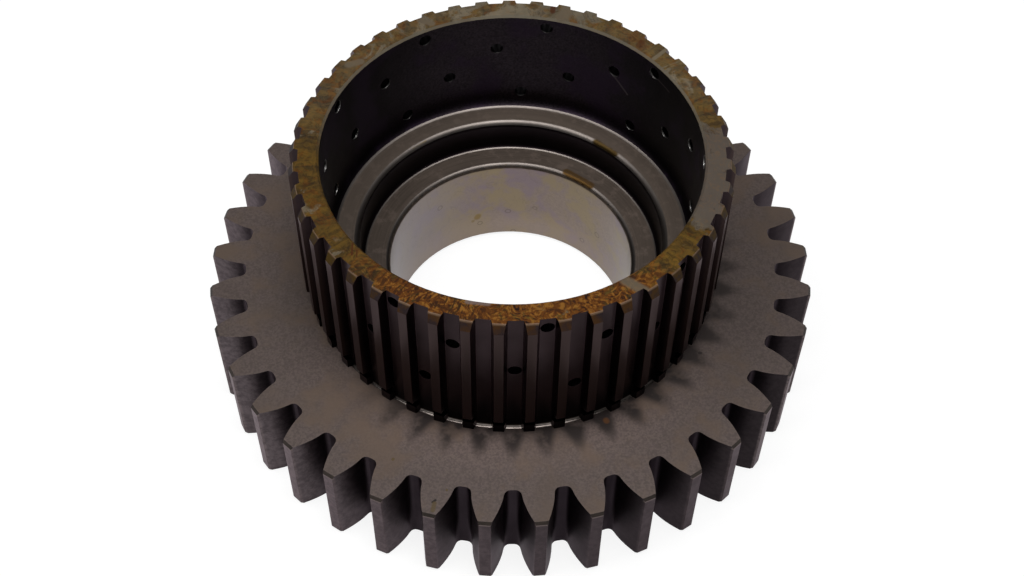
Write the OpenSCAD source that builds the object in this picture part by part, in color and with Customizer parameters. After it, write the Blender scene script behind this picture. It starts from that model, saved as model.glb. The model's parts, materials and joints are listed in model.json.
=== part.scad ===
// Steel transmission gear with a splined clutch hub, machined in one piece.
// A wide rim carries the spur teeth. A hollow drum stands on its upper face, with straight
// splines outside, an open counterbore inside and staggered oil holes in the spline gaps.
// The origin is on the axis, in the plane of the gear's underside.

/* [Gear teeth] */
// Module of the gear teeth
gear_module = 5; // [4.5:0.1:5.6]
// Number of gear teeth
gear_teeth = 37; // [34:1:42]
// Pressure angle of the gear teeth, in degrees
pressure_angle = 20; // [20:0.5:25]
// Thickness taken off each tooth at the pitch circle, for backlash
backlash = 0.3; // [0:0.05:0.6]
// Depth of the roots below the pitch circle, in modules
dedendum = 1.3; // [1.25:0.01:1.4]
// Fillet radius at the foot of each tooth flank, in modules
root_fillet = 0.38; // [0.25:0.01:0.42]
// Width of the gear along its axis
gear_w = 33; // [26:0.5:42]
// Chamfer turned on the tooth tips at both faces
tip_chamfer = 0.8; // [0.3:0.1:1.5]

/* [Splined hub] */
// Height of the drum above the gear's upper face
hub_h = 53.6; // [50:0.2:64]
// Thickness of the drum wall under the gaps between the splines
wall_t = 6.2; // [5:0.1:8]
// Number of splines
spline_count = 45; // [40:1:48]
// Depth of the gaps between the splines
spline_depth = 3; // [2.4:0.1:3.4]
// Width of a spline at its crest
crest_w = 2.75; // [2.2:0.05:3.1]
// Slope of a spline's flanks from its centre plane, in degrees
flank_angle = 16.5; // [10:0.5:20]
// Turn of the splines against the gear teeth, in degrees
spline_clock = 0.4; // [0:0.1:9]
// Width of the bevel at the upper ends of the splines
bevel_w = 1.7; // [1:0.1:2.2]
// Height of the bevel at the upper ends of the splines
bevel_h = 2.8; // [1.5:0.1:4]

/* [Ring groove] */
// Height of the spline stubs left below the ring groove
stub_h = 3.5; // [2:0.1:5]
// Step in from the crests to the outer faces of the stubs
stub_drop = 1; // [0.2:0.1:1.8]
// Width of the ring groove along the axis
groove_w = 3.1; // [1.5:0.1:4]
// Height of spline left standing on the floor of the ring groove
groove_rest = 0.4; // [0.2:0.1:1]
// Fillet between the gap floors and the gear's upper face
foot_fillet = 0.9; // [0.4:0.1:1.5]

/* [Through bore] */
// Diameter of the ground bore
bore_d = 78.2; // [70:0.1:84]
// Rounding of the bore's upper edge
bore_edge_r = 1.9; // [1:0.1:2.4]
// Chamfer on the bore's lower edge
bore_chamfer = 0.8; // [0.3:0.1:1.5]

/* [Floors inside the drum] */
// Width of the lower floor, from the bore to the wall of the recess
lower_floor_w = 9.2; // [7:0.1:11]
// Height of the lower floor above the gear's upper face
lower_floor_h = 3; // [0:0.5:5]
// Fillet around the lower floor
lower_fillet = 1.8; // [0.8:0.1:2.5]
// Width of the upper floor, from the recess to the drum wall
upper_floor_w = 9.5; // [8:0.1:11]
// Height of the upper floor above the gear's upper face
upper_floor_h = 14; // [10:0.5:16]
// Fillet around the upper floor
upper_fillet = 3; // [1.5:0.1:3.5]
// Rounding of the edge between the upper floor and the recess
recess_edge_r = 2.3; // [1:0.1:3]
// Chamfer on the inner edge of the drum's rim
rim_chamfer = 0.7; // [0.3:0.1:1.5]

/* [Oil holes] */
// Diameter of the oil holes
oil_hole_d = 4.1; // [2.5:0.1:4.2]
// Number of rows of holes
hole_rows = 4; // [3:1:4]
// Distance from the rim down to the highest row
rim_to_row = 4.1; // [3.5:0.1:6]
// Distance from the upper floor up to the lowest row
floor_to_row = 5.8; // [5.2:0.1:8]

/* [Hidden] */

// Points on each involute flank, and steps in each small arc
FLANK_STEPS = 6;
ARC_STEPS = 6;
FILLET_STEPS = 4;
// How far a cutting or joining shape runs past the surface that it meets
PAST = 1;
// The angle that faces the front, where a gap between gear teeth is centred
FRONT = -90;
// Each gap's hole is this many rows on from its neighbour's, and one gap in each cycle has none
ROW_STEP = 3;
FIRST_ROW = 2;

pitch_r = gear_module * gear_teeth / 2;
tip_r = pitch_r + gear_module;
root_r = pitch_r - dedendum * gear_module;
base_r = pitch_r * cos(pressure_angle);
top_z = gear_w + hub_h;
bore_r = bore_d / 2;
recess_r = bore_r + lower_floor_w;
drum_r = recess_r + upper_floor_w;
gap_r = drum_r + wall_t;
crest_r = gap_r + spline_depth;
upper_floor_z = gear_w + upper_floor_h;
lower_floor_z = gear_w + lower_floor_h;
groove_z = gear_w + stub_h;
row_pitch = (hub_h - upper_floor_h - rim_to_row - floor_to_row) / (hole_rows - 1);

// Points along an arc about a centre, from angle a0 to angle a1
function arc(centre, r, a0, a1, steps) =
    [for (i = [0 : steps]) let (a = a0 + (a1 - a0) * i / steps) centre + r * [cos(a), sin(a)]];

function turned(p, a) = [p.x * cos(a) - p.y * sin(a), p.x * sin(a) + p.y * cos(a)];

// The involute function, in radians
function involute(a) = tan(a) - a * PI / 180;

// Half the angle that a gear tooth takes up at radius r, in degrees
function half_tooth(r) =
    (PI / (2 * gear_teeth) + involute(pressure_angle) - involute(acos(base_r / r))
        - backlash / (2 * pitch_r)) * 180 / PI;

// The root fillet touches the root circle and the involute flank, so its centre lies on the
// normal of the flank, which is a tangent of the base circle
fillet_r = root_fillet * gear_module;
fillet_centre_r = root_r + fillet_r;
tangent_l = sqrt(pow(fillet_centre_r, 2) - pow(base_r, 2)) - fillet_r;
form_r = sqrt(pow(base_r, 2) + pow(tangent_l, 2));
form_pressure = asin(tangent_l / form_r);
fillet_turn = half_tooth(form_r)
    + atan2(fillet_r * cos(form_pressure), form_r + fillet_r * sin(form_pressure));

// One side of a tooth that points along +X: up the root fillet, then up the flank
function tooth_side() =
    let (centre = fillet_centre_r * [cos(fillet_turn), sin(fillet_turn)])
    concat(
        arc(centre, fillet_r, fillet_turn + 180, 270 + half_tooth(form_r) - form_pressure,
            FILLET_STEPS),
        [for (i = [1 : FLANK_STEPS])
            let (r = form_r + (tip_r + PAST - form_r) * i / FLANK_STEPS)
            r * [cos(half_tooth(r)), sin(half_tooth(r))]]);

function reversed(list) = [for (i = [len(list) - 1 : -1 : 0]) list[i]];

// One whole tooth, from the root on its clockwise side to the root on its other side
function tooth_points() =
    let (side = tooth_side())
    concat([for (p = side) [p.x, -p.y]], reversed(side));

// The turned blank of the gear rim, with its chamfered tips
module rim_blank() {
    rotate_extrude($fn = 180)
        polygon([
            [0, 0],
            [tip_r - tip_chamfer, 0],
            [tip_r, tip_chamfer],
            [tip_r, gear_w - tip_chamfer],
            [tip_r - tip_chamfer, gear_w],
            [0, gear_w]]);
}

// The rim with its involute teeth
module gear_rim() {
    tooth_angle = 360 / gear_teeth;
    intersection() {
        translate([0, 0, -PAST])
            linear_extrude(gear_w + 2 * PAST)
                polygon([
                    for (k = [0 : gear_teeth - 1], p = tooth_points())
                        turned(p, FRONT + (k + 0.5) * tooth_angle)]);
        rim_blank();
    }
}

// The outline of one spline that points along +X, with its foot inside the drum wall
module spline_outline() {
    foot_r = gap_r - PAST;
    half_foot = crest_w / 2 + (crest_r - foot_r) * tan(flank_angle);
    half_past = crest_w / 2 - PAST * tan(flank_angle);
    polygon([
        [foot_r, -half_foot],
        [crest_r + PAST, -half_past],
        [crest_r + PAST, half_past],
        [foot_r, half_foot]]);
}

// The turned blank of the drum: stubs, ring groove, crests and end bevel
module hub_blank() {
    groove_r = gap_r + groove_rest;
    rotate_extrude($fn = 180)
        polygon([
            [0, gear_w - PAST],
            [crest_r - stub_drop, gear_w - PAST],
            [crest_r - stub_drop, groove_z],
            [groove_r, groove_z],
            [groove_r, groove_z + groove_w],
            [crest_r, groove_z + groove_w],
            [crest_r, top_z - bevel_h],
            [crest_r - bevel_w, top_z],
            [0, top_z]]);
}

// The drum with its external splines
module splined_hub() {
    spline_angle = 360 / spline_count;
    intersection() {
        translate([0, 0, gear_w - PAST])
            linear_extrude(hub_h + 2 * PAST) {
                circle(gap_r, $fn = 180);
                for (k = [0 : spline_count - 1])
                    rotate(FRONT + spline_clock + (k + 0.5) * spline_angle) spline_outline();
            }
        hub_blank();
    }
}

// The fillet ring that joins the gap floors to the gear's upper face
module foot_ring() {
    rotate_extrude($fn = 180)
        polygon(concat(
            [[gap_r - PAST, gear_w - PAST], [gap_r + foot_fillet, gear_w - PAST]],
            arc([gap_r + foot_fillet, gear_w + foot_fillet], foot_fillet, 270, 180, ARC_STEPS),
            [[gap_r - PAST, gear_w + foot_fillet]]));
}

// The space inside: the ground bore, the recess and the drum's counterbore
module inner_space() {
    rotate_extrude($fn = 180)
        polygon(concat(
            [[0, -PAST], [bore_r + bore_chamfer + PAST, -PAST], [bore_r, bore_chamfer]],
            arc([bore_r + bore_edge_r, lower_floor_z - bore_edge_r], bore_edge_r, 180, 90,
                ARC_STEPS),
            arc([recess_r - lower_fillet, lower_floor_z + lower_fillet], lower_fillet, 270, 360,
                ARC_STEPS),
            arc([recess_r + recess_edge_r, upper_floor_z - recess_edge_r], recess_edge_r, 180, 90,
                ARC_STEPS),
            arc([drum_r - upper_fillet, upper_floor_z + upper_fillet], upper_fillet, 270, 360,
                ARC_STEPS),
            [[drum_r, top_z - rim_chamfer], [drum_r + rim_chamfer + PAST, top_z + PAST],
             [0, top_z + PAST]]));
}

// The oil holes: one in the middle of each gap, stepping through the rows
module oil_holes() {
    gap_angle = 360 / spline_count;
    for (k = [0 : spline_count - 1]) {
        row = (FIRST_ROW + ROW_STEP * k) % (hole_rows + 1);
        if (row < hole_rows)
            rotate(FRONT + spline_clock + k * gap_angle)
                translate([drum_r - PAST, 0, top_z - rim_to_row - row * row_pitch])
                    rotate([0, 90, 0])
                        cylinder(h = wall_t + 3 * PAST, d = oil_hole_d, $fn = 32);
    }
}

module gear() {
    color([0.42, 0.39, 0.37])
        difference() {
            union() {
                gear_rim();
                splined_hub();
                foot_ring();
            }
            inner_space();
            oil_holes();
        }
}

gear();
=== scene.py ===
"""Splined gear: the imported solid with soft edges, worn steel and oil stains, on a pale stage"""

import json
from math import cos, radians, sin

import bpy
from mathutils import Matrix, Vector

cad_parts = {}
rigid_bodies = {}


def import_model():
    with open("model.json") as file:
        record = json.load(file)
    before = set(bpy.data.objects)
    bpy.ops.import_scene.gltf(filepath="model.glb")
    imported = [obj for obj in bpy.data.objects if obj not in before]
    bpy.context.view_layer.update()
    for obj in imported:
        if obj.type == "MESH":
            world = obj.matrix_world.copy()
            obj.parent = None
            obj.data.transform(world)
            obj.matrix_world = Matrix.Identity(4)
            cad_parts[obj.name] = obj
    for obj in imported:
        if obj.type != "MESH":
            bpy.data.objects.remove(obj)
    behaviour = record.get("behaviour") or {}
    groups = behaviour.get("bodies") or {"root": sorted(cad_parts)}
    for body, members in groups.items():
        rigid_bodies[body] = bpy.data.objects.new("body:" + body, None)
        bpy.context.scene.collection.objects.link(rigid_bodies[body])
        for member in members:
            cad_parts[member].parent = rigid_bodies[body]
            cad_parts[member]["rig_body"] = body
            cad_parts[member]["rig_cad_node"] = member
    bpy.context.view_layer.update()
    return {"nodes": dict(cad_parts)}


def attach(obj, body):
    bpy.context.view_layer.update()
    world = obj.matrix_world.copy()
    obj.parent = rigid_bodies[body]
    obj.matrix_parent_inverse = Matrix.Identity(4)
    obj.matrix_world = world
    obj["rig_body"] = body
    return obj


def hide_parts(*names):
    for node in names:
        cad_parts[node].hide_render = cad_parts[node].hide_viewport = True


bl_info = {
    "name": "Splined gear",
    "version": (1, 0, 0),
    "blender": (4, 5, 0),
    "location": "View3D > Sidebar > Gear",
    "description": "Finishes a machined steel gear with a splined drum and sets its stage",
    "category": "Object",
}

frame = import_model()

# Heights of the gear's level surfaces, in metres
GEAR_TOP = 0.033
LOWER_FLOOR = 0.036
UPPER_FLOOR = 0.047
DRUM_TOP = 0.0866

# Radii of its round surfaces, from the bore outward, in metres
BORE_R = 0.0391
RECESS_R = 0.0483
DRUM_INSIDE_R = 0.0578
GAP_FLOOR_R = 0.064
RIM_OUTSIDE_R = 0.0653
CREST_R = 0.067
ROOT_R = 0.086
TIP_R = 0.0975

# Splines around the drum
SPLINES = 45.0

# Places that differ by less than this count as the same, in metres
CLOSE = 0.0001

# How far apart corners are still merged, how thin a sliver may be, and the bend between two
# faces that are still joined in one
MERGE_GAP = 0.000004
SLIVER = 0.00003
FLAT_BEND = radians(0.4)

# Depth of the bump at full strength, and the samples of each rounded edge
BUMP_DEPTH = 0.00005
EDGE_SAMPLES = 4

# Where the camera stands, in metres, and how it is turned, in degrees
CAMERA_PLACE = (-0.00546, -0.31255, 0.4239)
CAMERA_HEADING = -1.0985
CAMERA_TILT = 37.62
CAMERA_ROLL = 0.812
SENSOR_WIDTH = 36

# Where the two soft lights hang, and their diameters
OVER_PLACE, OVER_SIZE = (0.12, -0.10, 1.3), 0.7
LEFT_PLACE, LEFT_SIZE = (-0.5, -0.1, 1.1), 0.6

# Brightness of the plain white that is mixed into the floor
WHITE_LEVEL = 1.2

# Stains and nicks: two ends as angle from the front in degrees and distance from the axis, on
# upright walls with a height as well, then width, colour and strength
DARK, RUSTY, OCHRE = (0.010, 0.006, 0.005), (0.12, 0.045, 0.012), (0.085, 0.055, 0.014)
FACE_MARKS = (
    ((24.6, 0.0680), (24.6, 0.0684), 0.0012, RUSTY, 0.8),
    ((-14.2, 0.0921), (-14.6, 0.0929), 0.0005, DARK, 0.95),
    ((-14.2, 0.0932), (-14.1, 0.0955), 0.0009, OCHRE, 0.7),
    ((-25.2, 0.0832), (-25.2, 0.0834), 0.0006, OCHRE, 0.8),
    ((57.7, 0.0693), (57.9, 0.0698), 0.0006, DARK, 0.7),
    ((-12.7, 0.0880), (-12.7, 0.0881), 0.0005, OCHRE, 0.8),
    ((-27.8, 0.0893), (-29.0, 0.0880), 0.0012, OCHRE, 0.4),
)
LIP_MARKS = (
    ((152.0, 0.0408), (138.0, 0.0404), 0.0019, (0.055, 0.027, 0.004), 0.95),
    ((-130.0, 0.0395), (-178.0, 0.0395), 0.0007, (0.13, 0.085, 0.02), 0.6),
)
STEP_MARKS = (
    ((-138.6, 0.0490), (-145.0, 0.0492), 0.0007, (0.14, 0.10, 0.03), 0.7),
    ((144.1, 0.0490), (135.0, 0.0488), 0.0019, (0.042, 0.024, 0.004), 0.95),
)
SCRATCH, FAINT_SCRATCH = (0.085, 0.070, 0.075), (0.075, 0.058, 0.062)
WALL_MARKS = (
    ((144.7, DRUM_INSIDE_R, 0.0708), (138.7, DRUM_INSIDE_R, 0.0658), 0.0005, SCRATCH, 0.8),
    ((130.4, DRUM_INSIDE_R, 0.0817), (120.9, DRUM_INSIDE_R, 0.0806), 0.0004, FAINT_SCRATCH, 0.8),
)
BORE_BLOBS = (
    ((-163.5, BORE_R, 0.0112), (-163.1, BORE_R, 0.0106), 0.0016, (0.20, 0.135, 0.055), 0.9),
    ((-160.8, BORE_R, 0.0092), (-160.7, BORE_R, 0.0090), 0.0008, (0.19, 0.13, 0.06), 0.7),
)
# Rings left by drops on the bore: angle, height and radius
BORE_RINGS = (
    (-179.2, 0.0121, 0.0011),
    (-164.5, 0.0072, 0.0010),
    (178.0, 0.0011, 0.0010),
    (129.6, 0.0159, 0.0012),
    (-142.1, 0.0233, 0.0011),
    (166.8, 0.0149, 0.0009),
    (139.3, 0.0074, 0.0010),
)
CLEAN, RED_BROWN = (0.125, 0.098, 0.066), (0.060, 0.015, 0.003)
RIM_MARKS = (
    ((-12.5, 0.0588), (-7.0, 0.0585), 0.0011, (0.165, 0.120, 0.105), 0.8),
    ((32.0, 0.0590), (34.0, 0.0645), 0.0022, CLEAN, 0.85),
    ((163.7, 0.0600), (163.2, 0.0650), 0.0030, CLEAN, 0.9),
    ((130.5, 0.0590), (131.0, 0.0660), 0.0009, (0.15, 0.12, 0.08), 0.9),
    ((-155.0, 0.0600), (-153.0, 0.0625), 0.0016, CLEAN, 0.8),
    ((-128.0, 0.0600), (-125.0, 0.0620), 0.0018, CLEAN, 0.8),
    ((167.3, 0.0615), (167.6, 0.0650), 0.0012, RED_BROWN, 0.8),
    ((137.5, 0.0600), (137.8, 0.0620), 0.0014, RED_BROWN, 0.6),
    ((-51.3, 0.0585), (-48.2, 0.0612), 0.00035, RED_BROWN, 0.9),
    ((-48.6, 0.0590), (-46.8, 0.0607), 0.00030, RED_BROWN, 0.8),
    ((-28.0, 0.0590), (-30.5, 0.0635), 0.00035, RED_BROWN, 0.8),
    ((-25.5, 0.0592), (-28.5, 0.0635), 0.00035, RED_BROWN, 0.8),
    ((-23.5, 0.0592), (-26.0, 0.0630), 0.00030, RED_BROWN, 0.7),
)


def colour(name, text, default):
    return bpy.props.FloatVectorProperty(
        name=name, description=text, default=default, size=3, min=0, max=1, subtype="COLOR"
    )


class GearSettings(bpy.types.PropertyGroup):
    """Edges and finishes of the gear"""

    smooth_angle: bpy.props.FloatProperty(
        name="Smooth angle",
        description="Faces that meet under this angle are shaded as one surface",
        default=radians(28),
        min=0,
        max=radians(90),
        subtype="ANGLE",
    )
    edge_width: bpy.props.FloatProperty(
        name="Edge width",
        description="Radius of the broken edge that deburring leaves",
        default=0.00018,
        min=0,
        max=0.001,
        subtype="DISTANCE",
    )
    face_steel: colour("Face steel", "Ground faces of the gear", (0.086, 0.065, 0.057))
    tooth_steel: colour("Tooth steel", "Flanks and tips of the gear teeth", (0.042, 0.0345, 0.036))
    chamfer_steel: colour("Chamfer steel", "Chamfers on the tooth tips", (0.038, 0.028, 0.023))
    spline_steel: colour("Spline steel", "Splines and their gap floors", (0.028, 0.0188, 0.0205))
    floor_steel: colour("Floor steel", "Turned floors inside the drum", (0.068, 0.051, 0.040))
    lip_steel: colour("Lip steel", "Burnished round edges of both floors", (0.17, 0.148, 0.134))
    step_steel: colour("Step steel", "Recess wall between the floors", (0.018, 0.013, 0.015))
    wall_steel: colour("Wall steel", "Inner wall of the drum", (0.026, 0.020, 0.025))
    bore_steel: colour("Bore steel", "Ground wall of the bore", (0.225, 0.178, 0.150))
    rim_steel: colour("Rim steel", "Clean steel on the drum's rim", (0.158, 0.130, 0.088))
    gold: colour("Dried oil", "Golden film of dried oil", (0.080, 0.044, 0.004))
    rust: colour("Burnt oil", "Red-brown film of burnt oil", (0.115, 0.034, 0.003))
    pitch: colour("Oil line", "Darkest lines in the burnt oil", (0.016, 0.005, 0.002))


class StageSettings(bpy.types.PropertyGroup):
    """Camera, lights and floor"""

    lens: bpy.props.FloatProperty(
        name="Lens",
        description="Focal length of the camera",
        default=53.85,
        min=10,
        max=200,
        unit="CAMERA",
    )
    floor_size: bpy.props.FloatProperty(
        name="Floor size",
        description="Side of the square floor",
        default=8,
        min=1,
        max=50,
        subtype="DISTANCE",
    )
    floor_tone: colour("Floor", "Pale floor under the gear", (0.8, 0.8, 0.8))
    floor_glow: bpy.props.FloatProperty(
        name="Floor glow",
        description="Share of plain white in what the camera sees of the floor",
        default=0.7,
        min=0,
        max=1,
        subtype="FACTOR",
    )
    mirror_glow: bpy.props.FloatProperty(
        name="Mirrored glow",
        description="Share of plain white in what metal and glass show of the floor",
        default=0.3,
        min=0,
        max=1,
        subtype="FACTOR",
    )
    over_power: bpy.props.FloatProperty(
        name="Overhead power",
        description="Power of the large soft light overhead",
        default=9.5,
        min=0,
        max=500,
        unit="POWER",
    )
    left_power: bpy.props.FloatProperty(
        name="Left power",
        description="Power of the large soft light high on the left",
        default=4.2,
        min=0,
        max=500,
        unit="POWER",
    )
    sky: bpy.props.FloatProperty(
        name="Sky",
        description="Level of the soft light from straight overhead",
        default=0.1,
        min=0,
        max=3,
    )
    horizon: bpy.props.FloatProperty(
        name="Horizon",
        description="Level of the soft light from the sides",
        default=0.03,
        min=0,
        max=3,
    )


class Graph:
    """A node tree, with short ways to add and link its nodes"""

    def __init__(self, tree):
        self.tree = tree
        tree.nodes.clear()

    def add(self, kind, place=(0, 0), **values):
        """A new node; the values are its own properties, not its sockets"""
        node = self.tree.nodes.new("ShaderNode" + kind)
        node.location = place
        for key, value in values.items():
            setattr(node, key, value)
        return node

    def put(self, target, value):
        """Link a socket to the target, or set the target to a plain value"""
        if isinstance(value, bpy.types.NodeSocket):
            self.tree.links.new(value, target)
        else:
            target.default_value = value

    def math(self, operation, a, b=0.0, c=0.0, clamp=False):
        node = self.add("Math", operation=operation, use_clamp=clamp)
        for target, value in zip(node.inputs, (a, b, c)):
            self.put(target, value)
        return node.outputs[0]

    def times(self, a, b):
        return self.math("MULTIPLY", a, b)

    def ramp(self, value, low, high, start=0.0, end=1.0, smooth=True):
        """From start to end while the value runs from low to high, and level beyond both"""
        node = self.add("MapRange", interpolation_type="SMOOTHSTEP" if smooth else "LINEAR")
        for target, what in zip(node.inputs, (value, low, high, start, end)):
            self.put(target, what)
        return node.outputs[0]

    def mix(self, factor, a, b, blend="MIX"):
        node = self.add("Mix", data_type="RGBA", blend_type=blend, clamp_factor=True)
        for index, value in ((0, factor), (6, a), (7, b)):
            if index and not isinstance(value, bpy.types.NodeSocket):
                value = (*value[:3], 1.0)
            self.put(node.inputs[index], value)
        return node.outputs[2]

    def noise(self, vector, scale, detail=4.0, rough=0.55, distort=0.0):
        node = self.add("TexNoise", noise_dimensions="3D")
        values = {
            "Vector": vector,
            "Scale": scale,
            "Detail": detail,
            "Roughness": rough,
            "Distortion": distort,
        }
        for key, value in values.items():
            self.put(node.inputs[key], value)
        return node.outputs["Fac"]

    def band(self, value, centre, width):
        """1 where the value equals the centre, fading to 0 at the width on both sides"""
        off = self.math("ABSOLUTE", self.math("SUBTRACT", value, centre))
        return self.ramp(off, width, 0.0)

    def vector(self, operation, a, b=(0.0, 0.0, 0.0)):
        node = self.add("VectorMath", operation=operation)
        self.put(node.inputs[0], a)
        self.put(node.inputs["Scale" if operation == "SCALE" else 1], b)
        return node.outputs["Value" if operation in ("DOT_PRODUCT", "LENGTH") else "Vector"]

    def object_point(self):
        return self.add("TexCoord").outputs["Object"]

    def group(self, tree, **values):
        node = self.add("Group", node_tree=tree)
        for key, value in values.items():
            self.put(node.inputs[key], value)
        return node.outputs


def new_group(name, inputs, outputs):
    """A node group; each input and output has a name, a kind and a default or None"""
    tree = bpy.data.node_groups.new(name, "ShaderNodeTree")
    graph = Graph(tree)
    for kind, sockets in (("INPUT", inputs), ("OUTPUT", outputs)):
        for label, what, default in sockets:
            socket = tree.interface.new_socket(
                name=label, in_out=kind, socket_type="NodeSocket" + what
            )
            if default is not None:
                socket.default_value = default
    into, out = tree.nodes.new("NodeGroupInput"), tree.nodes.new("NodeGroupOutput")
    return graph, into.outputs, out.inputs


def polar_group():
    """Distance from the axis, angle from the front, height, and a point moved onto one ring"""
    graph, given, out = new_group(
        "Around the axis",
        [("Radius", "Float", 0.06), ("Across", "Float", 0.0), ("Up", "Float", 0.0)],
        [
            ("Distance", "Float", None),
            ("Angle", "Float", None),
            ("Height", "Float", None),
            ("Ring", "Vector", None),
        ],
    )
    parts = graph.add("SeparateXYZ")
    graph.put(parts.inputs[0], graph.object_point())
    x, y, z = parts.outputs
    square = graph.math("ADD", graph.times(x, x), graph.times(y, y))
    distance = graph.math("SQRT", square)
    scale = graph.math("DIVIDE", given["Radius"], graph.math("MAXIMUM", distance, 0.001))
    ring = graph.add("CombineXYZ")
    graph.put(ring.inputs[0], graph.times(x, scale))
    graph.put(ring.inputs[1], graph.times(y, scale))
    along = graph.times(distance, given["Across"])
    graph.put(ring.inputs[2], graph.math("ADD", along, graph.times(z, given["Up"])))
    graph.put(out["Distance"], distance)
    graph.put(out["Angle"], graph.math("ARCTAN2", x, graph.times(y, -1.0)))
    graph.put(out["Height"], z)
    graph.put(out["Ring"], ring.outputs[0])
    return graph.tree


def mark_group():
    """A stain, nick or scratch between two points, with a ragged outline"""
    graph, given, out = new_group(
        "Mark",
        [
            ("Start", "Vector", None),
            ("End", "Vector", None),
            ("Width", "Float", 0.001),
            ("Ragged", "Float", 0.3),
        ],
        [("Mask", "Float", None), ("Outline", "Float", None)],
    )
    point = graph.object_point()
    away = graph.vector("SUBTRACT", point, given["Start"])
    along = graph.vector("SUBTRACT", given["End"], given["Start"])
    length = graph.math("MAXIMUM", graph.vector("DOT_PRODUCT", along, along), 1e-9)
    share = graph.math("DIVIDE", graph.vector("DOT_PRODUCT", away, along), length, clamp=True)
    nearest = graph.vector("SCALE", along, share)
    gap = graph.vector("LENGTH", graph.vector("SUBTRACT", away, nearest))
    fray = graph.math("SUBTRACT", graph.noise(point, 900.0, 3.0), 0.5)
    widths = graph.math("DIVIDE", gap, given["Width"])
    part = graph.math("ADD", widths, graph.times(fray, given["Ragged"]))
    graph.put(out["Mask"], graph.ramp(part, 1.0, 0.45))
    graph.put(out["Outline"], graph.band(part, 0.85, 0.3))
    return graph.tree


def grain_group():
    """Fine speckle, broad cloudiness and a height for the bump"""
    graph, given, out = new_group(
        "Steel grain",
        [("Speckle", "Float", 1700.0), ("Cloud", "Float", 45.0)],
        [("Fine", "Float", None), ("Broad", "Float", None), ("Height", "Float", None)],
    )
    point = graph.object_point()
    fine = graph.noise(point, given["Speckle"], 3.0, 0.6)
    broad = graph.noise(point, given["Cloud"], 5.0, 0.62)
    graph.put(out["Fine"], fine)
    graph.put(out["Broad"], broad)
    height = graph.math("MULTIPLY_ADD", fine, 0.7, graph.times(broad, 0.3))
    graph.put(out["Height"], height)
    return graph.tree


def turning_group(polar):
    """Concentric marks that a lathe leaves, broken up a little around the axis"""
    graph, given, out = new_group(
        "Turning marks",
        [("Density", "Float", 1400.0)],
        [("Mark", "Float", None)],
    )
    around = graph.group(polar)
    spot = graph.add("CombineXYZ")
    graph.put(spot.inputs[0], graph.times(around["Distance"], given["Density"]))
    graph.put(spot.inputs[1], graph.times(around["Height"], given["Density"]))
    graph.put(spot.inputs[2], graph.math("COSINE", graph.times(around["Angle"], 2.0)))
    graph.put(out["Mark"], graph.noise(spot.outputs[0], 1.0, 3.0, 0.7))
    return graph.tree


def wear_group():
    """A mask along outer edges, where handling polishes the steel"""
    graph, given, out = new_group(
        "Edge wear",
        [("Width", "Float", 0.0005), ("Breakup", "Float", 260.0)],
        [("Mask", "Float", None)],
    )
    rounded = graph.add("Bevel", samples=EDGE_SAMPLES)
    graph.put(rounded.inputs["Radius"], given["Width"])
    surface = graph.add("NewGeometry")
    agree = graph.vector("DOT_PRODUCT", rounded.outputs[0], surface.outputs["Normal"])
    edge = graph.ramp(agree, 0.995, 0.93)
    broken = graph.ramp(graph.noise(graph.object_point(), given["Breakup"], 3.0), 0.35, 0.62)
    graph.put(out["Mask"], graph.times(edge, broken))
    return graph.tree


def steel(name, settings, kit, build):
    """A metal whose colour, roughness and height come from build, with its edges rounded"""
    material = bpy.data.materials.new(name)
    material.use_nodes = True
    graph = Graph(material.node_tree)
    shader = graph.add("BsdfPrincipled", (300, 0))
    output = graph.add("OutputMaterial", (600, 0))
    graph.put(output.inputs[0], shader.outputs[0])
    look = build(graph, settings, kit)
    graph.put(shader.inputs["Base Color"], look["colour"])
    graph.put(shader.inputs["Roughness"], look["rough"])
    graph.put(shader.inputs["Metallic"], look["metal"])
    graph.put(shader.inputs["Specular IOR Level"], look.get("gloss", 0.5))
    shader.inputs["Specular Tint"].default_value = (*look.get("tint", (1.0, 1.0, 1.0)), 1.0)
    rounded = graph.add("Bevel", samples=EDGE_SAMPLES)
    rounded.inputs["Radius"].default_value = look.get("edge", settings.edge_width)
    bump = graph.add("Bump")
    bump.inputs["Strength"].default_value = look["bump"]
    bump.inputs["Distance"].default_value = BUMP_DEPTH
    graph.put(bump.inputs["Height"], look["height"])
    graph.put(bump.inputs["Normal"], rounded.outputs[0])
    graph.put(shader.inputs["Normal"], bump.outputs[0])
    return material


def seen(graph):
    """1 where the camera looks, and where metal or glass shows what is behind it"""
    path = graph.add("LightPath")
    shown = graph.math("ADD", path.outputs["Is Camera Ray"], path.outputs["Is Glossy Ray"])
    return graph.math("ADD", shown, path.outputs["Is Transmission Ray"], clamp=True)


def scaled(base, factor):
    return [c * factor for c in base]


def tone(graph, base, low, high, factor, level=(0.3, 0.7)):
    """The base colour, darkened and lightened by a factor that runs over the surface"""
    dark = scaled(base, low)
    light = [min(1.0, c * high) for c in base]
    return graph.mix(graph.ramp(factor, *level, smooth=False), dark, light)


def at(angle, distance, height):
    """A point by its angle from the gear's front, its distance from the axis and its height"""
    turn = radians(angle)
    return (distance * sin(turn), -distance * cos(turn), height)


def marked(graph, kit, shade, marks, *height):
    """The shade with stains laid on; marks without heights of their own all take the one given"""
    for start, end, width, stain, strength in marks:
        first, last = at(*start, *height), at(*end, *height)
        mask = graph.group(kit["mark"], Start=first, End=last, Width=width)["Mask"]
        shade = graph.mix(graph.times(mask, strength), shade, stain)
    return shade


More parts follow.
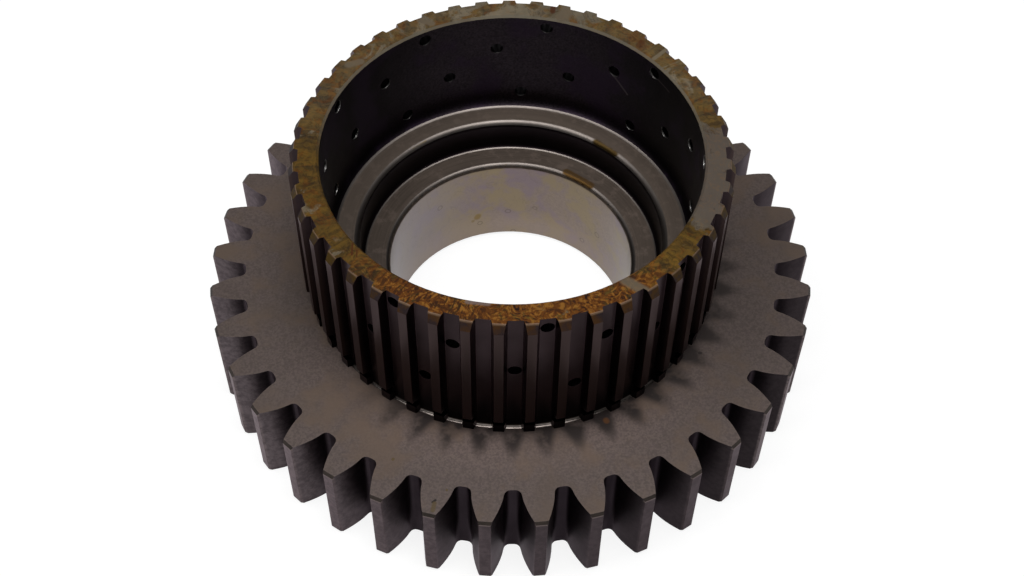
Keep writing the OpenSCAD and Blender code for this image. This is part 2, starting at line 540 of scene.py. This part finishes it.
def painted_gap_shade(graph, around):
    """A mask of painted shade on the gear's face below the spline gaps, at the front and right"""
    gaps = graph.math("COSINE", graph.times(around["Angle"], SPLINES))
    near, far = CREST_R - 0.002, CREST_R + 0.0105
    outward = graph.ramp(around["Distance"], near, far, 0.0, 1.7, smooth=False)
    reach = graph.math("SUBTRACT", graph.math("MULTIPLY_ADD", gaps, 0.5, 0.5), outward)
    uneven = graph.ramp(graph.noise(graph.object_point(), 160.0, 3.0), 0.34, 0.52, 0.5, 1.0)
    turned = graph.math("COSINE", graph.math("SUBTRACT", around["Angle"], radians(30)))
    above = graph.ramp(around["Height"], GEAR_TOP - 0.002, GEAR_TOP - 0.001)
    lee = graph.times(graph.ramp(turned, 0.2, 0.6), above)
    return graph.times(graph.ramp(reach, -0.75, 0.35), graph.times(uneven, lee))


# Each finish builds its colours in the graph and returns what steel() gives to the shader
def face_finish(graph, settings, kit):
    base = settings.face_steel
    mauve, umber = (0.092, 0.066, 0.067), (0.080, 0.057, 0.044)
    # The second of these tones is the painted shade below the spline gaps
    sienna, painted_gap_shade_tone = (0.105, 0.072, 0.052), (0.027, 0.019, 0.017)
    # The last gain paints light on the front of the face
    painted_light_gain = (1.64, 1.60, 1.60)
    marks = graph.group(kit["grain"], Speckle=1500.0, Cloud=38.0)
    around = graph.group(kit["polar"])
    ground = tone(graph, base, 0.80, 1.20, marks["Fine"], (0.4, 0.6))
    patch = graph.noise(graph.object_point(), 420.0, 4.0, 0.6)
    mottled = graph.mix(graph.ramp(patch, 0.36, 0.66, 0.0, 0.2), ground, mauve)
    stain = graph.ramp(marks["Broad"], 0.44, 0.66, 0.0, 0.75)
    stained = graph.mix(stain, mottled, umber)
    # Painted light: the face is lighter at the front, most of all near the foot of the drum
    front = graph.ramp(graph.math("COSINE", around["Angle"]), 0.25, 0.99)
    foot = graph.ramp(around["Distance"], ROOT_R, CREST_R + 0.002)
    painted_front_light = graph.times(front, graph.ramp(foot, 0.0, 1.0, 0.3, 1.0, smooth=False))
    warm = graph.ramp(graph.noise(graph.object_point(), 75.0, 5.0, 0.6), 0.48, 0.66, 0.0, 0.6)
    warmed = graph.mix(warm, stained, sienna)
    front_lit = graph.mix(painted_front_light, warmed, painted_light_gain, "MULTIPLY")
    # Painted shade on the face below the spline gaps
    gap_shaded = graph.mix(painted_gap_shade(graph, around), front_lit, painted_gap_shade_tone)
    edge = graph.group(kit["wear"], Width=0.0005)["Mask"]
    worn = graph.mix(graph.times(edge, 0.35), gap_shaded, scaled(base, 1.7))
    shade = marked(graph, kit, worn, FACE_MARKS, GEAR_TOP)
    rough = graph.ramp(marks["Broad"], 0.3, 0.7, 0.42, 0.52)
    return {
        "colour": shade,
        "rough": rough,
        "metal": 0.0,
        "gloss": 0.3,
        "height": marks["Height"],
        "bump": 0.35,
    }


def tooth_finish(graph, settings, kit):
    base = settings.tooth_steel
    # Gains of the painted light on the tooth tips: all round, on the right and on the left
    painted_tip_light, painted_right_light, left_gain = (1.35, 1.3, 1.28), (3.4, 3.5, 3.4), (1.3, 1.34, 1.32)
    # Tones of the painted shade at the tooth roots and of the painted highlight on the tips' top
    # edge
    painted_root_shade, painted_edge_highlight = (0.0066, 0.0042, 0.0068), (0.17, 0.135, 0.12)
    marks = graph.group(kit["grain"], Speckle=1300.0, Cloud=60.0)
    around = graph.group(kit["polar"], Radius=0.09, Up=0.08)
    cut_lines = graph.noise(around["Ring"], 1500.0, 3.0, 0.6)
    ground = tone(graph, base, 0.85, 1.18, marks["Broad"])
    lined = graph.mix(graph.ramp(cut_lines, 0.4, 0.7, 0.0, 0.35), ground, scaled(base, 1.4))
    # Painted light: the teeth are lighter on the left and darker on the right, and their tips are
    # lightened, most of all on the right
    side = graph.math("SINE", around["Angle"])
    oiled = graph.mix(graph.ramp(side, -0.9, 0.3, 1.0, 0.0), scaled(base, 0.30), scaled(base, 2.4))
    tips = graph.ramp(around["Distance"], TIP_R - 0.001, TIP_R - 0.0003)
    side_lit = graph.mix(graph.ramp(tips, 0.0, 1.0, 0.85, 0.55), lined, oiled)
    tips_lit = graph.mix(tips, side_lit, painted_tip_light, "MULTIPLY")
    right = graph.times(graph.ramp(side, 0.6, 0.95), tips)
    tips_side_lit = graph.mix(right, tips_lit, painted_right_light, "MULTIPLY")
    left = graph.times(graph.ramp(side, -0.5, -0.85), tips)
    tips_side_lit = graph.mix(left, tips_side_lit, left_gain, "MULTIPLY")
    scuff = graph.ramp(graph.noise(graph.object_point(), 520.0, 5.0, 0.7), 0.36, 0.64, 0.72, 1.3)
    scuffed = graph.vector("SCALE", tips_side_lit, scuff)
    # Painted shade: the flanks darken towards the roots between the teeth
    root = graph.ramp(around["Distance"], ROOT_R + 0.008, ROOT_R - 0.0002, 0.0, 0.85)
    shade = graph.mix(root, scuffed, painted_root_shade)
    # Painted highlight: a light line along the top edge of the tooth tips
    tip_edge_band = graph.times(graph.band(around["Height"], GEAR_TOP - 0.0011, 0.0005), tips)
    shade = graph.mix(graph.times(tip_edge_band, 0.8), shade, painted_edge_highlight)
    edge = graph.group(kit["wear"], Width=0.0004)["Mask"]
    worn = graph.mix(graph.times(edge, 0.5), shade, scaled(base, 2.4))
    rough = graph.ramp(marks["Broad"], 0.3, 0.7, 0.36, 0.46)
    tint = (0.86, 0.78, 0.82)
    return {
        "colour": worn,
        "rough": rough,
        "metal": 1.0,
        "tint": tint,
        "height": marks["Fine"],
        "bump": 0.15,
    }


def chamfer_finish(graph, settings, kit):
    base = settings.chamfer_steel
    marks = graph.group(kit["grain"], Speckle=1500.0, Cloud=120.0)
    shade = tone(graph, base, 0.6, 1.25, marks["Broad"])
    return {"colour": shade, "rough": 0.45, "metal": 0.6, "height": marks["Fine"], "bump": 0.15}


def spline_finish(graph, settings, kit):
    base = settings.spline_steel
    crest_brown = (base[0] * 1.55, base[1] * 1.55, base[2] * 1.3)
    marks = graph.group(kit["grain"], Speckle=1300.0, Cloud=80.0)
    around = graph.group(kit["polar"])
    ground = tone(graph, base, 0.75, 1.25, marks["Broad"])
    crest = graph.ramp(around["Distance"], CREST_R - 0.0015, CREST_R - 0.0005)
    brown = graph.mix(graph.times(crest, 0.8), ground, crest_brown)
    edge = graph.group(kit["wear"], Width=0.0004)["Mask"]
    worn = graph.mix(graph.times(edge, 0.5), brown, scaled(base, 2.6))
    # Painted shade: the splines darken towards the gear face, the gap floors more than the crests,
    # and their feet turn near black
    foot = graph.ramp(around["Height"], GEAR_TOP + 0.0080, GEAR_TOP + 0.0035)
    low = graph.ramp(around["Height"], GEAR_TOP + 0.0220, GEAR_TOP + 0.0040)
    shelter = graph.math("SUBTRACT", 0.75, graph.times(crest, 0.55))
    shaded = graph.times(low, shelter)
    painted_foot_shade = graph.mix(graph.math("MAXIMUM", foot, shaded), worn, scaled(base, 0.06))
    tint = (0.92, 0.84, 0.86)
    return {
        "colour": painted_foot_shade,
        "rough": 0.28,
        "metal": 1.0,
        "tint": tint,
        "height": marks["Fine"],
        "bump": 0.15,
    }


def bevel_finish(graph, settings, kit):
    # The second tone is a painted highlight
    front_film, painted_edge_highlight = (0.058, 0.026, 0.009), (0.21, 0.135, 0.085)
    around = graph.group(kit["polar"])
    marks = graph.group(kit["grain"], Speckle=1300.0, Cloud=170.0)
    front = graph.ramp(graph.math("COSINE", around["Angle"]), 0.6, 0.95)
    film = graph.mix(front, scaled(settings.gold, 0.7), front_film)
    cover = graph.ramp(marks["Broad"], 0.38, 0.60)
    bare = graph.mix(cover, scaled(settings.spline_steel, 0.9), film)
    # Painted highlight: a light line along the top edge of the spline ends
    top = graph.ramp(around["Height"], DRUM_TOP - 0.0006, DRUM_TOP - 0.0001)
    lined = graph.mix(graph.times(top, 0.8), bare, painted_edge_highlight)
    return {
        "colour": lined,
        "rough": 0.55,
        "metal": 0.0,
        "gloss": 0.08,
        "height": marks["Fine"],
        "bump": 0.2,
    }


def fillet_finish(graph, settings, kit):
    marks = graph.group(kit["grain"], Speckle=1300.0, Cloud=170.0)
    base = settings.lip_steel
    around = graph.group(kit["polar"])
    # Painted highlight: the fillets at the foot of the spline gaps are light at the front and dark
    # elsewhere
    bright = tone(graph, base, 0.9, 2.3, marks["Broad"])
    left = graph.ramp(around["Angle"], radians(-36), radians(-18))
    right = graph.ramp(around["Angle"], radians(22), radians(8))
    painted_front_highlight = graph.times(graph.times(left, right), 0.9)
    shade = graph.mix(painted_front_highlight, scaled(base, 0.25), bright)
    return {"colour": shade, "rough": 0.3, "metal": 1.0, "height": marks["Fine"], "bump": 0.1}


def hole_finish(graph, settings, kit):
    base = settings.wall_steel
    # Tone of the painted glints at the hole mouths
    painted_glint = (0.80, 0.78, 0.75)
    marks = graph.group(kit["grain"], Speckle=1300.0, Cloud=170.0)
    around = graph.group(kit["polar"])
    # Painted glints: a light band round the inner mouth of each hole, strongest on the left and
    # right of the drum; inside, the holes are painted dark as shade
    mouth = graph.ramp(around["Distance"], DRUM_INSIDE_R + 0.0006, DRUM_INSIDE_R + 0.0003)
    aside = graph.math("ABSOLUTE", graph.math("SINE", around["Angle"]))
    side = graph.ramp(aside, 0.4, 0.9, 0.08, 0.6)
    dark = tone(graph, base, 0.15, 0.4, marks["Broad"])
    shade = graph.mix(graph.times(mouth, side), dark, painted_glint)
    return {
        "colour": shade,
        "rough": 0.36,
        "metal": 1.0,
        "height": marks["Fine"],
        "bump": 0.1,
        "edge": 0.0003,
    }


def floor_finish(graph, settings, kit):
    base = settings.floor_steel
    light_speck, outer_grey = (0.115, 0.086, 0.070), (0.120, 0.093, 0.073)
    marks = graph.group(kit["grain"], Speckle=1300.0, Cloud=60.0)
    lathe = graph.group(kit["turning"], Density=1500.0)["Mark"]
    mixed = graph.math("MULTIPLY_ADD", lathe, 0.7, graph.times(marks["Broad"], 0.3))
    ground = tone(graph, base, 0.72, 1.25, mixed, (0.35, 0.65))
    score = graph.group(kit["turning"], Density=520.0)["Mark"]
    scored = graph.mix(graph.ramp(score, 0.64, 0.72, 0.0, 0.5), ground, scaled(base, 0.35))
    mottle = graph.noise(graph.object_point(), 300.0, 4.0, 0.65)
    speckled = graph.mix(graph.ramp(mottle, 0.50, 0.66, 0.0, 0.6), scored, light_speck)
    around = graph.group(kit["polar"])
    outer = graph.ramp(around["Distance"], RECESS_R + 0.0002, RECESS_R + 0.0012)
    lifted = graph.mix(graph.times(outer, 0.35), speckled, outer_grey)
    shade = marked(graph, kit, lifted, LIP_MARKS, LOWER_FLOOR)
    shade = marked(graph, kit, shade, STEP_MARKS, UPPER_FLOOR)
    return {
        "colour": shade,
        "rough": 0.5,
        "metal": 0.15,
        "gloss": 0.25,
        "height": lathe,
        "bump": 0.4,
    }


def lip_finish(graph, settings, kit):
    base = settings.lip_steel
    marks = graph.group(kit["grain"], Speckle=1300.0, Cloud=90.0)
    ground = tone(graph, base, 0.8, 1.15, marks["Broad"])
    shade = marked(graph, kit, ground, LIP_MARKS, LOWER_FLOOR)
    shade = marked(graph, kit, shade, STEP_MARKS, UPPER_FLOOR)
    around = graph.group(kit["polar"])
    # Painted shade: the lips darken at the front and sides, so that only the back stays light
    painted_front_shade = graph.ramp(graph.math("COSINE", around["Angle"]), -0.75, 0.1, 0.0, 0.6)
    shade = graph.mix(painted_front_shade, shade, scaled(base, 0.3))
    return {"colour": shade, "rough": 0.43, "metal": 1.0, "height": marks["Fine"], "bump": 0.1}


def step_finish(graph, settings, kit):
    base = settings.step_steel
    marks = graph.group(kit["grain"], Speckle=1300.0, Cloud=60.0)
    shade = tone(graph, base, 0.8, 1.2, marks["Broad"])
    return {"colour": shade, "rough": 0.42, "metal": 1.0, "height": marks["Fine"], "bump": 0.1}


def wall_finish(graph, settings, kit):
    base = settings.wall_steel
    violet = (0.030, 0.018, 0.036)
    marks = graph.group(kit["grain"], Speckle=1500.0, Cloud=50.0)
    around = graph.group(kit["polar"])
    # Painted shade: the inner wall darkens on the left and right of the drum
    side = graph.math("ABSOLUTE", graph.math("SINE", around["Angle"]))
    ground = tone(graph, base, 0.55, 1.5, marks["Fine"])
    painted_side_shade = graph.mix(graph.ramp(side, 0.3, 0.9, 0.0, 0.85), ground, scaled(base, 0.22))
    tinted = graph.mix(graph.ramp(marks["Broad"], 0.48, 0.62, 0.0, 0.6), painted_side_shade, violet)
    shade = marked(graph, kit, tinted, WALL_MARKS)
    rough = graph.ramp(marks["Broad"], 0.3, 0.7, 0.44, 0.54)
    return {"colour": shade, "rough": rough, "metal": 1.0, "height": marks["Fine"], "bump": 0.25}


def bore_finish(graph, settings, kit):
    base = settings.bore_steel
    violet, yellow, pale = (0.205, 0.160, 0.178), (0.245, 0.192, 0.118), (0.235, 0.205, 0.215)
    marks = graph.group(kit["grain"], Speckle=1100.0, Cloud=75.0)
    point = graph.object_point()
    ground = tone(graph, base, 0.90, 1.10, marks["Fine"])
    around = graph.group(kit["polar"])
    # Painted light: the bore is paler on the left
    left = graph.ramp(graph.math("SINE", around["Angle"]), -0.2, -0.9)
    clouds = graph.ramp(graph.noise(point, 62.0, 4.0, 0.6, 0.9), 0.42, 0.60, 0.0, 0.85)
    cool = graph.mix(clouds, ground, violet)
    warm = graph.mix(graph.ramp(marks["Broad"], 0.44, 0.58, 0.0, 0.85), cool, yellow)
    lit = graph.mix(graph.times(left, 0.7), warm, pale)
    tide = graph.band(graph.noise(point, 130.0, 4.0, 0.6, 0.8), 0.50, 0.012)
    edged = graph.mix(graph.times(tide, 0.24), lit, scaled(base, 0.55))
    # Painted light: the bore lightens towards its lower end
    low = graph.ramp(around["Height"], 0.016, 0.0, 0.0, 0.45)
    lifted = graph.mix(low, edged, scaled(base, 1.6))
    shade = marked(graph, kit, lifted, BORE_BLOBS)
    for angle, height, size in BORE_RINGS:
        spot = at(angle, BORE_R, height)
        ring = graph.group(kit["mark"], Start=spot, End=spot, Width=size)["Outline"]
        shade = graph.mix(graph.times(ring, 0.5), shade, scaled(base, 0.3))
    return {"colour": shade, "rough": 0.32, "metal": 1.0, "height": marks["Fine"], "bump": 0.1}


def rim_finish(graph, settings, kit):
    dull_grey, orange = (0.086, 0.068, 0.058), (0.270, 0.118, 0.018)
    # Tones of the painted highlights on the rim's inner and outer edges
    painted_inner_highlight, painted_outer_highlight = (0.160, 0.140, 0.105), (0.24, 0.16, 0.11)
    left_gain = (0.78, 0.76, 0.7)
    point = graph.object_point()
    marks = graph.group(kit["grain"], Speckle=1300.0, Cloud=90.0)
    around = graph.group(kit["polar"], Radius=0.0615, Across=0.3)
    front = graph.ramp(graph.math("COSINE", around["Angle"]), 0.62, 0.90)
    left = graph.ramp(graph.math("SINE", around["Angle"]), 0.0, -0.75)
    off = graph.math("ABSOLUTE", graph.math("SUBTRACT", around["Angle"], radians(80)))
    right = graph.ramp(off, radians(26), radians(13))
    beside = graph.ramp(graph.math("SINE", around["Angle"]), 0.3, 0.6)
    far = graph.times(graph.ramp(off, radians(17), radians(25)), beside)
    steel_tone = tone(graph, settings.rim_steel, 0.6, 1.35, marks["Broad"])
    dull = graph.mix(graph.times(right, 0.8), steel_tone, dull_grey)
    bias = graph.math("MULTIPLY_ADD", front, 0.18, graph.times(left, 0.14))
    back = graph.ramp(graph.math("COSINE", around["Angle"]), 0.1, -0.4)
    bare = graph.math("MULTIPLY_ADD", right, 0.10, graph.times(back, 0.01))
    shift = graph.math("SUBTRACT", graph.math("MULTIPLY_ADD", far, 0.15, bias), bare)
    film = graph.math("ADD", graph.noise(point, 105.0, 5.0, 0.6, 0.8), shift)
    cover = graph.ramp(film, 0.46, 0.55)
    cloud = graph.noise(around["Ring"], 210.0, 5.0, 0.68, 0.6)
    gold = tone(graph, settings.gold, 0.36, 1.42, cloud, (0.38, 0.60))
    gold = graph.mix(graph.times(left, 0.8), gold, left_gain, "MULTIPLY")
    depth = graph.math("SUBTRACT", 0.95, graph.times(back, 0.2))
    oiled = graph.mix(graph.times(cover, depth), dull, gold)
    burn = graph.noise(point, 210.0, 5.0, 0.68, 1.2)
    heat = graph.math("MULTIPLY_ADD", front, 0.13, graph.times(back, 0.03))
    burnt = graph.times(graph.ramp(graph.math("ADD", burn, heat), 0.52, 0.60), cover)
    scorched = graph.times(burnt, graph.math("MULTIPLY_ADD", front, 0.52, 0.4))
    browned = graph.mix(scorched, oiled, settings.rust)
    curls = graph.noise(point, 330.0, 5.0, 0.62, 2.4)
    calm = graph.ramp(graph.noise(point, 95.0, 3.0), 0.56, 0.42, 0.5, 1.2)
    lively = graph.times(front, calm)
    flecks = graph.math("MULTIPLY_ADD", front, 0.6, 0.12)
    amber = graph.times(graph.ramp(curls, 0.51, 0.60), flecks)
    flecked = graph.mix(amber, browned, orange)
    waves = graph.math("MULTIPLY_ADD", lively, 0.57, 0.35)
    curl = graph.times(graph.ramp(curls, 0.47, 0.40), waves)
    scrape = graph.ramp(around["Angle"], radians(-4), radians(-12))
    comb = graph.ramp(graph.noise(around["Ring"], 1150.0, 2.0, 0.5), 0.50, 0.60)
    combed = graph.times(graph.times(comb, front), graph.times(scrape, 0.8))
    lines = graph.times(graph.math("MAXIMUM", curl, combed), cover)
    tide = graph.times(graph.band(film, 0.465, 0.016), 0.4)
    drawn = graph.mix(graph.math("MAXIMUM", lines, tide), flecked, settings.pitch)
    # Painted highlights: a light line on the inner edge at the back and on the outer edge at the
    # front
    inside = graph.ramp(around["Distance"], DRUM_INSIDE_R + 0.0008, DRUM_INSIDE_R + 0.0005)
    inner = graph.times(inside, back)
    lined = graph.mix(graph.times(inner, 0.7), drawn, painted_inner_highlight)
    outside = graph.ramp(around["Distance"], RIM_OUTSIDE_R - 0.0004, RIM_OUTSIDE_R - 0.0001)
    outer = graph.times(outside, front)
    rimmed = graph.mix(graph.times(outer, 0.7), lined, painted_outer_highlight)
    shade = marked(graph, kit, rimmed, RIM_MARKS, DRUM_TOP)
    metal = graph.times(graph.math("SUBTRACT", 1.0, cover), 0.3)
    return {
        "colour": shade,
        "rough": 0.55,
        "metal": metal,
        "gloss": 0.12,
        "height": film,
        "bump": 0.4,
    }


def zone(polygon):
    """Which surface of the gear a face belongs to, by its place and normal"""
    centre, normal = polygon.center, polygon.normal
    r, z = centre.xy.length, centre.z
    if abs(z - GEAR_TOP) < CLOSE and normal.z > 0.99:
        return "face"
    if r < RIM_OUTSIDE_R + 0.0002 and normal.z > 0.4 and z > DRUM_TOP - 0.001:
        return "rim"
    if z > DRUM_TOP - 0.003 and 0.35 < normal.z < 0.8:
        return "bevel"
    if r < BORE_R + CLOSE and z < LOWER_FLOOR and abs(normal.z) < 0.9:
        return "bore"
    if r < DRUM_INSIDE_R - 0.00003 and z > GEAR_TOP - 0.001:
        if normal.z > 0.98 or (r < BORE_R + 0.0018 and normal.z < 0.6):
            return "floor"
        hollow = r > RECESS_R + 0.0025 or (r > BORE_R + 0.0025 and z < LOWER_FLOOR + 0.003)
        if normal.z > (0.85 if hollow else 0.55):
            return "lip"
        return "wall" if z > UPPER_FLOOR else "step"
    if r < GAP_FLOOR_R - 0.0004 and GEAR_TOP + 0.002 < z < DRUM_TOP - CLOSE:
        inward = -normal.xy.dot(centre.xy) / r
        return "wall" if inward > 0.9 else "hole"
    if GEAR_TOP < z < GEAR_TOP + 0.00095 and normal.z > 0.05 and r < GAP_FLOOR_R + 0.0012:
        return "fillet"
    if z > GEAR_TOP + 0.00001 and r < CREST_R + 0.0015:
        return "spline"
    if abs(normal.z) > 0.9:
        return "face"
    if abs(normal.z) > 0.5:
        return "chamfer"
    return "tooth"


FINISHES = {
    "face": face_finish,
    "tooth": tooth_finish,
    "chamfer": chamfer_finish,
    "spline": spline_finish,
    "bevel": bevel_finish,
    "fillet": fillet_finish,
    "hole": hole_finish,
    "floor": floor_finish,
    "lip": lip_finish,
    "step": step_finish,
    "wall": wall_finish,
    "bore": bore_finish,
    "rim": rim_finish,
}


class GEAR_OT_body(bpy.types.Operator):
    """Copy the solid, break its sharp edges and give each surface its finish"""

    bl_idname = "gear.body"
    bl_label = "Gear body"

    def execute(self, context):
        settings = context.scene.gear_settings
        source = frame["nodes"]["gear"]
        bpy.ops.object.select_all(action="DESELECT")
        body = source.copy()
        body.data = source.data.copy()
        body.name = "gear_body"
        body.parent = None
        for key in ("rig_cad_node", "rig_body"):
            if key in body:
                del body[key]
        context.collection.objects.link(body)
        body.matrix_world = Matrix.Identity(4)
        context.view_layer.objects.active = body
        body.select_set(True)
        bpy.ops.mesh.customdata_custom_splitnormals_clear()
        bpy.ops.object.mode_set(mode="EDIT")
        bpy.ops.mesh.select_all(action="SELECT")
        bpy.ops.mesh.remove_doubles(threshold=MERGE_GAP)
        bpy.ops.mesh.dissolve_limited(angle_limit=FLAT_BEND)
        bpy.ops.mesh.dissolve_degenerate(threshold=SLIVER)
        bpy.ops.object.mode_set(mode="OBJECT")
        self.finishes(body, settings)
        bpy.ops.object.shade_smooth_by_angle(angle=settings.smooth_angle)
        level = body.modifiers.new("level", "WEIGHTED_NORMAL")
        level.keep_sharp = True
        bpy.ops.object.modifier_apply(modifier=level.name)
        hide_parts("gear")
        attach(body, "root")
        return {"FINISHED"}

    @staticmethod
    def finishes(body, settings):
        polar = polar_group()
        kit = {
            "polar": polar,
            "grain": grain_group(),
            "turning": turning_group(polar),
            "wear": wear_group(),
            "mark": mark_group(),
        }
        body.data.materials.clear()
        for name, build in FINISHES.items():
            body.data.materials.append(steel("steel " + name, settings, kit, build))
        order = {name: index for index, name in enumerate(FINISHES)}
        for polygon in body.data.polygons:
            polygon.material_index = order[zone(polygon)]


class GEAR_OT_stage(bpy.types.Operator):
    """Set the camera, the soft lights and the pale floor"""

    bl_idname = "gear.stage"
    bl_label = "Stage"

    def execute(self, context):
        settings = context.scene.stage_settings
        self.camera(context, settings)
        self.floor(context, settings)
        self.lights(context, settings)
        self.world(context, settings)
        context.scene.view_settings.view_transform = "Standard"
        return {"FINISHED"}

    @staticmethod
    def camera(context, settings):
        data = bpy.data.cameras.new("camera")
        data.sensor_width = SENSOR_WIDTH
        data.sensor_fit = "HORIZONTAL"
        data.lens = settings.lens
        camera = bpy.data.objects.new("camera", data)
        heading = Matrix.Rotation(radians(CAMERA_HEADING), 4, "Z")
        turn = heading @ Matrix.Rotation(radians(CAMERA_TILT), 4, "X")
        roll = Matrix.Rotation(radians(CAMERA_ROLL), 4, "Z")
        camera.matrix_world = Matrix.Translation(CAMERA_PLACE) @ turn @ roll
        context.collection.objects.link(camera)
        context.scene.camera = camera

    @staticmethod
    def floor(context, settings):
        bpy.ops.object.select_all(action="DESELECT")
        bpy.ops.mesh.primitive_plane_add(size=settings.floor_size, location=(0, 0, 0))
        floor = context.object
        floor.name = "floor"
        material = bpy.data.materials.new("pale floor")
        material.use_nodes = True
        graph = Graph(material.node_tree)
        cloth = graph.add("BsdfDiffuse")
        graph.put(cloth.inputs[0], (*settings.floor_tone, 1.0))
        glow = graph.add("Emission")
        glow.inputs[1].default_value = WHITE_LEVEL
        blend = graph.add("MixShader")
        path = graph.add("LightPath")
        glossy, clear = path.outputs["Is Glossy Ray"], path.outputs["Is Transmission Ray"]
        mirrored = graph.math("ADD", glossy, clear)
        direct = graph.times(path.outputs["Is Camera Ray"], settings.floor_glow)
        share = graph.math("MULTIPLY_ADD", mirrored, settings.mirror_glow, direct)
        graph.put(blend.inputs[0], share)
        graph.put(blend.inputs[1], cloth.outputs[0])
        graph.put(blend.inputs[2], glow.outputs[0])
        output = graph.add("OutputMaterial")
        graph.put(output.inputs[0], blend.outputs[0])
        floor.data.materials.append(material)

    @staticmethod
    def lights(context, settings):
        middle = Vector((0, 0, DRUM_TOP / 2))
        for name, place, size, power in (
            ("over", OVER_PLACE, OVER_SIZE, settings.over_power),
            ("left", LEFT_PLACE, LEFT_SIZE, settings.left_power),
        ):
            data = bpy.data.lights.new(name, "AREA")
            data.shape = "DISK"
            data.size = size
            data.energy = power
            light = bpy.data.objects.new(name, data)
            light.location = place
            aim = middle - Vector(place)
            light.rotation_euler = aim.to_track_quat("-Z", "Y").to_euler()
            context.collection.objects.link(light)

    @staticmethod
    def world(context, settings):
        world = bpy.data.worlds.new("studio")
        context.scene.world = world
        world.use_nodes = True
        graph = Graph(world.node_tree)
        way = graph.add("SeparateXYZ")
        graph.put(way.inputs[0], graph.add("TexCoord").outputs["Generated"])
        even = graph.add("Background")
        level = graph.ramp(way.outputs[2], 0.3, 1.0, settings.horizon, settings.sky)
        graph.put(even.inputs[1], level)
        white = graph.add("Background")
        graph.put(white.inputs[1], 1.0)
        for back in (even, white):
            graph.put(back.inputs[0], (1.0, 1.0, 1.0, 1.0))
        blend = graph.add("MixShader")
        low = graph.ramp(way.outputs[2], 0.5, 0.3)
        graph.put(blend.inputs[0], graph.times(seen(graph), low))
        graph.put(blend.inputs[1], even.outputs[0])
        graph.put(blend.inputs[2], white.outputs[0])
        output = graph.add("OutputWorld")
        graph.put(output.inputs[0], blend.outputs[0])


class GEAR_PT_panel(bpy.types.Panel):
    """Buttons and settings for the gear"""

    bl_idname = "GEAR_PT_panel"
    bl_label = "Splined gear"
    bl_space_type = "VIEW_3D"
    bl_region_type = "UI"
    bl_category = "Gear"

    def draw(self, context):
        for operator in (GEAR_OT_body, GEAR_OT_stage):
            self.layout.operator(operator.bl_idname)
        for group in (context.scene.gear_settings, context.scene.stage_settings):
            for key in group.__annotations__:
                self.layout.prop(group, key)


CLASSES = (GearSettings, StageSettings, GEAR_OT_body, GEAR_OT_stage, GEAR_PT_panel)


def register():
    for each in CLASSES:
        bpy.utils.register_class(each)
    bpy.types.Scene.gear_settings = bpy.props.PointerProperty(type=GearSettings)
    bpy.types.Scene.stage_settings = bpy.props.PointerProperty(type=StageSettings)


def unregister():
    del bpy.types.Scene.stage_settings
    del bpy.types.Scene.gear_settings
    for each in reversed(CLASSES):
        bpy.utils.unregister_class(each)


def main():
    register()
    bpy.ops.gear.stage()
    bpy.ops.gear.body()


if __name__ == "__main__":
    main()
